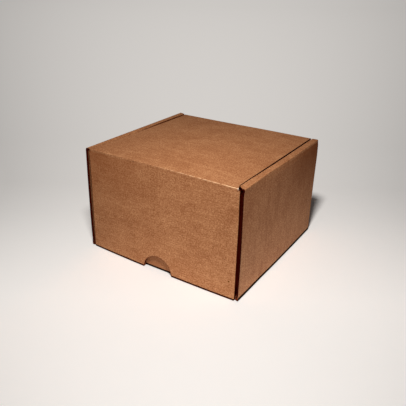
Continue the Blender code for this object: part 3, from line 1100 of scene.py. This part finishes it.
# Painted shade on the front wall round the flap's notch: its reach, share and colour.
NOTCH_SHADE_REACH = (0.024, 0.016)
NOTCH_SHADE_SHARE = 0.42
NOTCH_SHADE_TONE = (0.190, 0.060, 0.025, 1)
# Painted shade in the slots of the front corners: how far it fades in and out, and how far past the end wall
# it reaches.
SLOT_SHADE_BEGINS_OVER = 0.0004
SLOT_SHADE_ENDS_OVER = 0.003
END_SLOT_SHADE_PAST = 0.003
WALL_PATH = FoldedPath([(0, 0), (END_WALL_HALF, 0), (END_WALL_HALF, CORNER_FLAP_TIP)])


def slot_shade(begins, earlier, ends):
    """Painted shade on the paper in the slots of the front corners, between two lengths across the sheet.

    On the left it begins earlier by this much.
    """

    def mark(tree):
        across = length_across(tree)
        wide = maths(tree, "ABSOLUTE", across)
        nearer = times(tree, maths(tree, "LESS_THAN", across, 0.0), earlier)
        mask = ramp(tree, plus(tree, wide, nearer), begins, begins + SLOT_SHADE_BEGINS_OVER)
        return times(tree, mask, ramp(tree, wide, ends + SLOT_SHADE_ENDS_OVER, ends)), SOOT_AND_SLOT_SHADE

    return mark


def notch_shade(tree):
    """Painted shade: the wall is a little darker round the flap's notch, where it lies behind the flap."""
    off = vector_maths(tree, "DISTANCE", rest_place(tree), NOTCH_MIDDLE)
    return times(tree, ramp(tree, off, *NOTCH_SHADE_REACH), NOTCH_SHADE_SHARE), NOTCH_SHADE_TONE


# Painted shade in the slots of the front corners, on the front wall and its corner flaps.
END_SLOT_SHADE = slot_shade(WALL_PATH.folds[0][0], 0.0, END_WALL_HALF + END_SLOT_SHADE_PAST)
END_KRAFT = kraft_liner("end_kraft", marks=(notch_shade, END_SLOT_SHADE, shaded_foot(BOTTOM_FOOT_SHADE)))


def rounded(tip, radius):
    """Lines across a rounded corner that ends at the tip."""
    return tip - radius * (1 - np.cos(np.linspace(0, math.pi / 2, CORNER_STEPS)))


def corner_inset(places, tip, radius):
    """How far the rounded corner draws the edge in."""
    left = np.clip(radius - (tip - places), 0, radius)
    return radius - np.sqrt(radius**2 - left**2)


def end_wall(end, path, top, crease_half):
    edge = WALL_PATH.after(0)
    folds = [*fold_lines(WALL_PATH, -edge, edge), *fold_lines(WALL_PATH, -edge, edge, -1)]
    trimmed = [sign * (FRONT_WALL_TRIM_X + step) for sign in (-1, 1) for step in (0, STEP_WIDTH)]
    columns = joined(flute_lines(-edge, edge), folds)
    columns = joined(columns, [-crease_half, crease_half] if crease_half else trimmed)
    foot = path.after(0)
    foot_folds = fold_lines(path, path.before(0), foot)
    lines = joined([path.before(0)], foot_folds, np.linspace(foot, top, WALL_ROWS), near_cuts(foot, top))
    if crease_half:
        lines = joined(lines, [path.before(1)])

    def rows(places):
        """The front wall's top corners are cut lower, where the flap's ears turn in."""
        trim = 0.0 if crease_half else FRONT_WALL_TRIM
        lower = np.where(np.abs(places) > FRONT_WALL_TRIM_X + STEP_WIDTH / 2, trim, 0.0)
        return lines[:, None] - lower * np.clip((lines[:, None] - foot) / (top - foot), 0, 1)

    def keep(x, level):
        kept = (x < WALL_PATH.before(0)) | (level > foot)
        if crease_half:
            kept &= (level < path.before(1)) | (x > crease_half)
        return kept

    def uncut(x, y):
        return crease_half is not None and abs(x) < crease_half and abs(y) > path.before(1) - ON_LINE

    name = end + "_wall_board"
    way = -1 if end == "front" else 1
    joints = ("low", "left", "right")
    sheet = folded_sheet(name, columns, rows, WALL_PATH, path, keep, (1, way), True, joints, uncut)
    piece = board_piece(name, sheet, handled, END_KRAFT if end == "front" else OUTSIDE)
    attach(piece, "base")
    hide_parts(end + "_wall")


def corner_flap(end, side, sign, path):
    begins, tip = WALL_PATH.after(0), WALL_PATH.length
    columns = joined(flute_lines(begins, tip), rounded(tip, CORNER_FLAP_RADIUS))
    foot = path.folds[0][1] + WALL_FOOT - FOLD_RADIUS

    def rows(places):
        share = (places - begins) / (tip - begins)
        inset = corner_inset(places, tip, CORNER_FLAP_RADIUS) + CORNER_FLAP_TAPER * share
        return edged(foot + CORNER_FLAP_FOOT + inset, foot + CORNER_FLAP_TOP - inset)

    name = f"{end}_{side}_corner_flap"
    signs = (sign, -1 if end == "front" else 1)
    sheet = folded_sheet(name, columns, rows, WALL_PATH, path, None, signs, True, ("left",))
    piece = board_piece(name + "_board", sheet, handled, END_KRAFT if end == "front" else OUTSIDE)
    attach(piece, "base")
    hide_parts(name)


end_wall("front", FRONT_PATH, FRONT_PATH.length, None)
end_wall("back", BACK_PATH, BACK_PATH.folds[1][0] - (FIT_GAP + BOARD - FOLD_RADIUS), LID_HALF)
for side, sign in SIDES:
    corner_flap("front", side, sign, FRONT_PATH)
    corner_flap("back", side, sign, BACK_PATH)

# Rolled sides.
# Each side is a double wall of board: it goes up, over a narrow strip and down again inside. Two tabs lock
# it in the bottom's slots.
WALL_FRONT_FOOT = -0.07673
WALL_FRONT_TOP = -0.07493
STRIP_FRONT = -0.0737
STRIP_FRONT_OUTER = -0.0742
STRIP_FRONT_INNER = -0.0716
INNER_FRONT_TOP = -0.0690
INNER_FRONT_FOOT = -0.0732
WALL_BACK = 0.0753
INNER_BACK = 0.0732
TAB_HALF = 0.011
TAB_TAPER = 0.0008
SIDE_ROWS = (0, 0.0027, 0.0067, 0.02, 0.05, 0.1, 0.18, 0.27, 0.36)
SIDE_ROWS += (0.45, 0.55, 0.66, 0.78, 0.9, 0.9933, 0.9973, 1)
# Height of the painted shade along the side walls' foot.
SIDE_FOOT_SHADE = 0.0030
# Painted shade on the left strip's inner fold: lengths from the fold, and its colour.
GROOVE_FROM_FOLD = (0.0002, -0.0004)
GROOVE_SHADE_TONE = (0.10, 0.018, 0.002, 1)
# Painted shade on the right wall towards its upper back.
BACK_SHADE_FROM = 0.15
BACK_SHADE_Y = (-0.02, 0.08)
BACK_SHADE_Z = (0.035, 0.105)
BACK_SHADE_SHARE = 0.85
BACK_SHADE_TONE = (0.20, 0.050, 0.012, 1)


def side_front(places):
    path = SIDE_PATH
    lines = [line for number in (0, 1, 2) for line in (path.before(number), path.after(number))]
    fronts = [-HALF_DEPTH + CORNER_SETBACK, WALL_FRONT_FOOT, WALL_FRONT_TOP, STRIP_FRONT_OUTER]
    fronts += [STRIP_FRONT_INNER, INNER_FRONT_TOP, INNER_FRONT_FOOT]
    return np.interp(places, [*lines, path.length], fronts)


def side_back(places):
    path = SIDE_PATH
    lines = [path.before(0), path.after(0), path.before(2), path.after(2)]
    return np.interp(places, lines, [HALF_DEPTH - CORNER_SETBACK, WALL_BACK, WALL_BACK, INNER_BACK])


def groove_shade(tree):
    """Painted shade on the left strip's inner fold, which faces the groove beside the lid."""
    begins, ends = (offset - SIDE_PATH.folds[2][0] for offset in GROOVE_FROM_FOLD)
    return ramp(tree, length_across(tree), begins, ends), GROOVE_SHADE_TONE


def back_shade(tree):
    """Painted shade: the right wall is darker and redder towards its top, and most of all its upper back
    corner.
    """
    place = parts(tree, rest_place(tree))
    right = maths(tree, "GREATER_THAN", place["X"], 0.0)
    back = maths(tree, "MULTIPLY_ADD", ramp(tree, place["Y"], *BACK_SHADE_Y), 1 - BACK_SHADE_FROM, BACK_SHADE_FROM)
    high = times(tree, times(tree, right, back), ramp(tree, place["Z"], *BACK_SHADE_Z))
    return times(tree, high, BACK_SHADE_SHARE), BACK_SHADE_TONE


STRIP_KRAFT = kraft_liner("strip_kraft", marks=(groove_shade,), rim_strength=0.3)
# Both marks of the side walls are painted shade: at the upper back and along the foot.
SIDE_SHADES = (back_shade, shaded_foot(SIDE_FOOT_SHADE))
SIDE_KRAFT = kraft_liner("side_kraft", marks=SIDE_SHADES, rim_strength=0.15, gloss=0.22)


def side_board(name, node_name, sign, begins, ends, outside):
    columns = joined(flute_lines(begins, ends), fold_lines(SIDE_PATH, begins, ends))

    def rows(places):
        shares = np.array(SIDE_ROWS)[:, None]
        return side_front(places) * (1 - shares) + side_back(places) * shares

    sheet = folded_sheet(name, columns, rows, SIDE_PATH, FLAT, None, (sign, 1), True, ("left", "right"))
    piece = board_piece(name, sheet, handled, outside)
    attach(piece, "base")
    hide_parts(node_name)


def inner_side_board(side, sign):
    path = SIDE_PATH
    foot = path.length - (WALL_FOOT - FIT_GAP)
    columns = joined(flute_lines(path.after(2), path.length), [foot, foot + STEP_WIDTH])

    def rows(places):
        taper = TAB_TAPER * np.clip((places - foot) / (WALL_FOOT - FIT_GAP), 0, 1)
        tabs = [middle + way * (TAB_HALF - taper) for middle in (-TAB_MIDDLE, TAB_MIDDLE) for way in (-1, 1)]
        return edged(side_front(places), side_back(places), *tabs)

    def keep(x, y):
        return (x < foot) | (np.abs(np.abs(y) - TAB_MIDDLE) < TAB_HALF - TAB_TAPER)

    name = side + "_inner_side_board"
    sheet = folded_sheet(name, columns, rows, path, FLAT, keep, (sign, 1), True, ("left",))
    piece = board_piece(name, sheet, handled)
    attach(piece, "base")
    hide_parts(side + "_inner_side_wall")


for side, sign in SIDES:
    foot, top, inside = SIDE_PATH.before(0), SIDE_PATH.before(1), SIDE_PATH.after(2)
    side_board(side + "_outer_side_board", side + "_outer_side_wall", sign, foot, top, SIDE_KRAFT)
    side_board(side + "_roll_strip_board", side + "_roll_strip", sign, top, inside, STRIP_KRAFT)
    inner_side_board(side, sign)

# Lid and its two creases.
# The lid is level with the strips on both sides. Its creases at the back wall and at the flap are lines where
# the board is crushed, so that it bends there: each crease is one strip of board between two panels.
LID_ROWS = 9
LID_FRONT_ROWS = (0.002, 0.0045, 0.010, 0.016, 0.022, 0.030)
LID_LIFT = 0.0006
LID_LIFT_X = (0.07, 0.0)
LID_SAG = 0.0004
LID_SAG_X = (0.03, -0.03)
LEFT_LID_SPREAD = (0.0011, 0.0007, 0.0009, 0.0013, 0.0024, 0.0038, 0.0028)
RIGHT_LID_SPREAD = (0.0005, 0.0005, 0.0002, 0.0, -0.0001, -0.0001, 0.0023)
CREASE_ROWS = 9
# Painted highlight and scuffs along the flap's crease: where they grow towards the right, and their least.
SCUFFED_AND_LIT_FROM = (-0.03, 0.07)
LEAST_WEAR_AND_HIGHLIGHT = 0.03
# Painted highlights at the crease's right end: the lit crease beside it, and a pale spot at the very end.
HIGHLIGHT_FROM_END = (0.014, 0.006)
HIGHLIGHT_FOLDS = (0.84, 0.97)
BRIGHT_SPOT_FROM_END = (0.0010, 0.0005)
BRIGHT_SPOT_FOLDS = (0.1, 0.5)
BRIGHT_SPOT_TONE = (0.78, 0.60, 0.46, 1)


def lid_lift(points):
    """The lid's front edge stands a little high on the left, and its back edge a little low."""
    front = np.clip((HALF_DEPTH - points[:, 1]) / OUTER_DEPTH, 0, 1)
    low = LID_SAG * (1 - front) ** 2 * smooth_step(points[:, 0], *LID_SAG_X)
    return LID_LIFT * front**2 * smooth_step(points[:, 0], *LID_LIFT_X) - low


def widened(points):
    """The lid's sides run apart towards the front, so its left edge ends up over the pressed strip."""
    shift = np.zeros_like(points)
    share = np.clip(np.abs(points[:, 0]) / LID_HALF, 0, 1)
    shift[:, 0] = spread(points, LEFT_LID_SPREAD, RIGHT_LID_SPREAD) * share**4
    shift[:, 2] = lid_lift(points)
    return shift


def lid_board(name, rows, outside):
    columns = flute_lines(-LID_HALF, LID_HALF)
    sheet = folded_sheet(name, columns, rows, FLAT, BACK_PATH, joints=("low", "high"))
    return board_piece(name, sheet, widened, outside)


def lid():
    begins, ends = BACK_PATH.after(1), BACK_PATH.before(2)
    rows = joined(np.linspace(begins, ends, LID_ROWS), ends - np.array(LID_FRONT_ROWS))
    piece = lid_board("lid_board", rows, LID_KRAFT)
    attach(piece, "lid")
    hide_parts("lid_panel")


def crease(name, number, outside):
    """A crease across the box."""
    lines = [BACK_PATH.before(number), BACK_PATH.after(number)]
    rows = joined(lines, fold_lines(BACK_PATH, *lines), np.linspace(*lines, CREASE_ROWS))
    piece = lid_board(name, rows, outside)
    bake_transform(piece)


def scuffed_and_lit_to_the_right(tree):
    """The flap's crease is scuffed and carries a painted highlight, most at its right end and hardly at its
    left.
    """
    return plus(tree, ramp(tree, length_across(tree), *SCUFFED_AND_LIT_FROM), LEAST_WEAR_AND_HIGHLIGHT)


def crease_end_highlight(from_end, folds, tone):
    """Painted highlight at the crease's right end, by lengths from the end and by nearness to the fold."""

    def mark(tree):
        mask = ramp(tree, length_across(tree), *(LID_HALF - length for length in from_end))
        return times(tree, mask, ramp(tree, attribute(tree, "fold"), *folds)), tone

    return mark


# Painted highlights at the flap crease's right end: a pale spot at the very end, and beside it the whole
# crease lit.
CREASE_HIGHLIGHTS = (
    crease_end_highlight(HIGHLIGHT_FROM_END, HIGHLIGHT_FOLDS, SCUFF_AND_HIGHLIGHT),
    crease_end_highlight(BRIGHT_SPOT_FROM_END, BRIGHT_SPOT_FOLDS, BRIGHT_SPOT_TONE),
)
LID_KRAFT = kraft_liner("lid_kraft", rim_strength=0.4)
SCUFFED_LIT_CREASE = kraft_liner("scuffed_lit_crease_kraft", wear=scuffed_and_lit_to_the_right, marks=CREASE_HIGHLIGHTS, rim_strength=0.3)
lid()
crease("lid_crease_board", 1, OUTSIDE)
crease("flap_crease_board", 2, SCUFFED_LIT_CREASE)

# Front flap and its ears.
# The flap hangs in front of the front wall and bows out a little at its foot. A half-moon notch is cut in it
# for the thumb. Its two ears are turned back and slide into the slots at the front corners.
FLAP_HALF = 0.0788
FLAP_SHIFT = -0.0001
FLAP_DRAWN_IN = 0.0005
FLAP_DRAWN_Z = (0.070, 0.096)
FLAP_DRAWN_X = (0.06, 0.075)
FLAP_BOW = 0.0021
FLAP_TWIST = 0.0020
FLAP_FOOT_OUT = 0.0013
BOW_POWER = 1.4
# Drops below the crease, over which the flap stops being as wide as the lid and being lifted with it.
LID_WIDE_DROPS = (0.002, 0.012)
LIFTED_DROPS = (0.0, 0.06)
EAR_SEAT = 0.0802
SEATED_BEHIND = (0.0012, 0.006)
SHOULDER_DROP = 0.0012
NOTCH_HALF = 0.0155
NOTCH_HEIGHT = 0.0145
NOTCH_STEPS = 32
FLAP_ROW_SHARES = (0, 0.004, 0.01, 0.02, 0.035, 0.06, 0.1, 0.18, 0.3, 0.42)
FLAP_ROW_SHARES += (0.55, 0.68, 0.8, 0.9, 0.97, 0.99, 0.996, 1)
EAR_TOP_WIDTH = 0.0015
EAR_FOOT = 0.0885
EAR_RADIUS = 0.005
EAR_BLUNT = 0.006
EAR_REACH = 0.05
EAR_PAST_STRIP = 0.0007
EAR_SWING = math.hypot(HALF_DEPTH - STRIP_FRONT, BOARD) + EAR_PAST_STRIP
LEAST_EAR = 2.5 * CUT_LINES[1]
# Painted shade on the flap towards its upper left corner.
CORNER_SHADE_X = (0.02, -0.09)
CORNER_SHADE_Z = (0.02, 0.10)
CORNER_SHADE_SHARE = 0.40
CORNER_SHADE_TONE = (0.290, 0.075, 0.018, 1)
SPECK_PLACE = (0.0742, -0.0788, 0.0168)
SPECK_REACH = (0.0011, 0.0004)
SPECK_TONE = (0.12, 0.035, 0.006, 1)
# Height of the painted shade along the flap's foot.
FLAP_FOOT_SHADE = 0.0018
# Painted shade in the slots beside the flap's ears: where it begins after the fold, how much earlier on the
# left, and how far past the flap it reaches.
SLOT_SHADE_AFTER_FOLD = 0.0008
LEFT_SLOT_SHADE_EARLIER = 0.0010
FLAP_SLOT_SHADE_PAST = 0.004
FLAP_PATH = FoldedPath([(0, 0), (FLAP_HALF, 0), (FLAP_HALF, EAR_REACH)])
FLAP_TOP = BACK_PATH.length - FLAP_LENGTH


def hung(points):
    """The flap is as wide as the lid at its crease, and below it hangs a hair to the left.

    Its middle and most of all its lower right corner stand forward, its upper right edge is drawn in, and
    its ears lean out to their place in the slots.
    """
    x, y, z = points.T
    drop = np.clip(OUTER_HEIGHT - z, 0, OUTER_HEIGHT)
    wide = np.abs(x)
    low = (drop / OUTER_HEIGHT) ** BOW_POWER
    to_right = np.clip((x / FLAP_HALF + 1) / 2, 0, 1) ** 2
    shift = np.zeros_like(points)
    shift[:, 1] = -(FLAP_BOW * np.clip(1 - (wide / FLAP_HALF) ** 2, 0, 1) + FLAP_TWIST * to_right) * low
    top = 1 - smooth_step(drop, *LID_WIDE_DROPS)
    share = np.minimum((wide / LID_HALF) ** 4, np.clip((FLAP_HALF - wide) / (FLAP_HALF - LID_HALF), 0, 1))
    behind = y + HALF_DEPTH + drop * math.tan(FRONT_LEAN)
    seated = smooth_step(behind, *SEATED_BEHIND)
    drawn = FLAP_DRAWN_IN * smooth_step(z, *FLAP_DRAWN_Z) * smooth_step(x, *FLAP_DRAWN_X)
    beside = (FLAP_SHIFT * (1 - top) + FLAP_FOOT_OUT * to_right * low - drawn) * (1 - seated)
    beside += np.sign(x) * (EAR_SEAT - FLAP_HALF) * seated
    shift[:, 0] = spread(points, LEFT_LID_SPREAD, RIGHT_LID_SPREAD) * share * top + beside
    shift[:, 2] = lid_lift(points) * (1 - smooth_step(drop, *LIFTED_DROPS))
    return shift


def corner_shade(tree):
    """Painted shade: the flap is darker and redder towards its upper left corner."""
    place = parts(tree, rest_place(tree))
    mask = times(tree, ramp(tree, place["X"], *CORNER_SHADE_X), ramp(tree, place["Z"], *CORNER_SHADE_Z))
    return times(tree, mask, CORNER_SHADE_SHARE), CORNER_SHADE_TONE


def speck(tree):
    """One dark speck low on the right of the flap."""
    off = vector_maths(tree, "DISTANCE", rest_place(tree), SPECK_PLACE)
    return ramp(tree, off, *SPECK_REACH), SPECK_TONE


# Painted shade on the flap's ears, in the slots of the front corners.
SLOT_SHADE_BEGINS = FLAP_PATH.folds[0][0] + SLOT_SHADE_AFTER_FOLD
EAR_SLOT_SHADE = slot_shade(SLOT_SHADE_BEGINS, LEFT_SLOT_SHADE_EARLIER, FLAP_HALF + FLAP_SLOT_SHADE_PAST)
FLAP_KRAFT = kraft_liner("flap_kraft", marks=(corner_shade, speck, EAR_SLOT_SHADE, shaded_foot(FLAP_FOOT_SHADE)))


def front_flap():
    edge = FLAP_PATH.after(0)
    notch = NOTCH_HALF * np.cos(np.linspace(0, math.pi, NOTCH_STEPS + 1))
    folds = [*fold_lines(FLAP_PATH, -edge, edge), *fold_lines(FLAP_PATH, -edge, edge, -1)]
    necks = [sign * (LID_HALF + step) for sign in (-1, 1) for step in (0, STEP_WIDTH)]
    columns = joined(flute_lines(-edge, edge), notch, folds, necks)
    radius = (NOTCH_HALF**2 + NOTCH_HEIGHT**2) / (2 * NOTCH_HEIGHT)

    def rows(places):
        x = np.abs(places)
        top = np.where(x < LID_HALF + STEP_WIDTH / 2, BACK_PATH.after(2), FLAP_TOP + SHOULDER_DROP)
        arc = np.sqrt(np.clip(radius**2 - x**2, 0, None)) + NOTCH_HEIGHT - radius
        low = BACK_PATH.length - np.where(x < NOTCH_HALF, np.clip(arc, 0, None), 0)
        shares = np.array(FLAP_ROW_SHARES)[:, None]
        return top * (1 - shares) + low * shares

    def uncut(x, y):
        return abs(x) < LID_HALF and y < BACK_PATH.after(2) + ON_LINE

    sheet = folded_sheet(
        "front_flap_board", columns, rows, FLAP_PATH, BACK_PATH, joints=("left", "right"), uncut=uncut
    )
    piece = board_piece("front_flap_board", sheet, hung, FLAP_KRAFT)
    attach(piece, "front_flap")
    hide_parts("front_flap")


def flap_ear(side, sign):
    """An ear: its upper edge is an arc round the lid's crease, its lower edge is level, its tip is round."""
    hinge_y = OUTER_DEPTH * math.cos(FRONT_LEAN)
    hinge_z = OUTER_DEPTH * math.sin(FRONT_LEAN)
    begins = FLAP_PATH.after(0)
    root = FLAP_PATH(np.array([begins]))[0][0, 1]
    tip = hinge_y - math.sqrt(EAR_SWING**2 - (EAR_FOOT + hinge_z) ** 2) - EAR_BLUNT
    ends = begins + tip - root
    columns = joined(flute_lines(begins, ends), rounded(ends, EAR_RADIUS), [begins + EAR_TOP_WIDTH])

    def rows(places):
        depth = np.maximum(places - begins, EAR_TOP_WIDTH) + root
        high = np.sqrt(EAR_SWING**2 - (hinge_y - depth) ** 2) - hinge_z
        inset = corner_inset(places, ends, EAR_RADIUS)
        low = EAR_FOOT - inset
        return FLAP_TOP + edged(np.minimum(high + inset / 2, low - LEAST_EAR), low)

    name = side + "_flap_ear_board"
    sheet = folded_sheet(name, columns, rows, FLAP_PATH, BACK_PATH, signs=(sign, 1), joints=("left",))
    piece = board_piece(name, sheet, hung, FLAP_KRAFT)
    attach(piece, "front_flap")
    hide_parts(side + "_flap_ear")


front_flap()
for side, sign in SIDES:
    flap_ear(side, sign)
